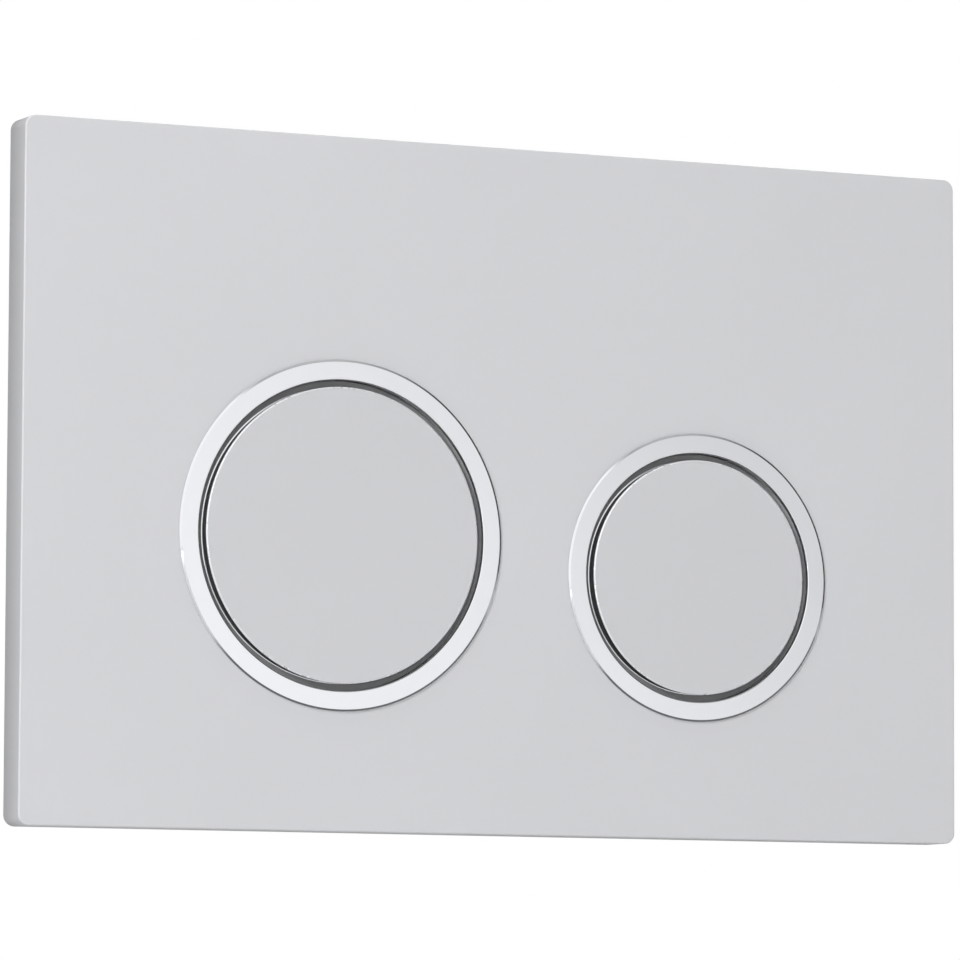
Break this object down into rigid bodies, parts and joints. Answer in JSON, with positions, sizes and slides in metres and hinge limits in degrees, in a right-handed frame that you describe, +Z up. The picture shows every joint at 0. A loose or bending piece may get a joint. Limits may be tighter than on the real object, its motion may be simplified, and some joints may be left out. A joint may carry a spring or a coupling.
{
  "type": "flush button plate",
  "caption": "Rectangular wall plate for a concealed cistern, with a large and a small round push button in bright rings that work push rods through rocker levers.",
  "frame": {"origin": "middle of the plate on the wall plane, at the back of the frame's flange", "axes": "+X along the width to the right as seen from the room, +Y into the wall, +Z up"},
  "size_m": [0.246, 0.0642, 0.164],
  "materials": {
    "satin_silver": "satin silver plating on moulded plastic",
    "bright_chrome": "polished chrome plating on moulded plastic",
    "black_plastic": "fine moulded texture",
    "white_plastic": "fine moulded texture",
    "white_acetal": "smooth moulded",
    "grey_plastic": "smooth moulded",
    "zinc_steel": "zinc plated",
    "spring_steel": "drawn wire"
  },
  "bodies": {
    "plate": {"face_plate": "satin_silver", "large_ring": "bright_chrome", "small_ring": "bright_chrome", "carrier": "black_plastic", "carrier_screws": "zinc_steel", "large_return_spring": "spring_steel", "small_return_spring": "spring_steel", "large_lever_pin": "spring_steel", "small_lever_pin": "spring_steel", "mounting_frame": "white_plastic", "fixing_bolts": "zinc_steel"},
    "large_button": {"large_button_cap": "satin_silver", "large_plunger": "black_plastic"},
    "large_lever": {"large_lever": "white_acetal"},
    "large_push_rod": {"large_rod_sleeve": "grey_plastic", "large_rod_spindle": "white_acetal", "large_rod_lock_nut": "grey_plastic"},
    "small_button": {"small_button_cap": "satin_silver", "small_plunger": "black_plastic"},
    "small_lever": {"small_lever": "white_acetal"},
    "small_push_rod": {"small_rod_sleeve": "grey_plastic", "small_rod_spindle": "white_acetal", "small_rod_lock_nut": "grey_plastic"}
  },
  "joints": [
    {"name": "large_button_press", "type": "slide", "parent": "plate", "child": "large_button", "axis": [0, 1, 0], "range_m": [0, 0.005], "stiffness_N_per_m": 600, "springref_m": -0.008, "deforming": ["large_return_spring"]},
    {"name": "large_lever_pivot", "type": "hinge", "parent": "plate", "child": "large_lever", "pos_m": [-0.0423, 0.0105, 0.044], "axis": [1, 0, 0], "range_deg": [0, 5.3]},
    {"name": "large_rod_slide", "type": "slide", "parent": "plate", "child": "large_push_rod", "axis": [0, 1, 0], "range_m": [0, 0.00627]},
    {"name": "small_button_press", "type": "slide", "parent": "plate", "child": "small_button", "axis": [0, 1, 0], "range_m": [0, 0.005], "stiffness_N_per_m": 600, "springref_m": -0.008, "deforming": ["small_return_spring"]},
    {"name": "small_lever_pivot", "type": "hinge", "parent": "plate", "child": "small_lever", "pos_m": [0.0519, 0.0105, 0.044], "axis": [1, 0, 0], "range_deg": [0, 5.3]},
    {"name": "small_rod_slide", "type": "slide", "parent": "plate", "child": "small_push_rod", "axis": [0, 1, 0], "range_m": [0, 0.00562]}
  ],
  "couplings": [
    {"joint": "large_lever_pivot", "follows": "large_button_press", "rad_per_m": 17.778},
    {"joint": "large_rod_slide", "follows": "large_button_press", "ratio": 1.2444},
    {"joint": "small_lever_pivot", "follows": "small_button_press", "rad_per_m": 15.911},
    {"joint": "small_rod_slide", "follows": "small_button_press", "ratio": 1.1138}
  ]
}
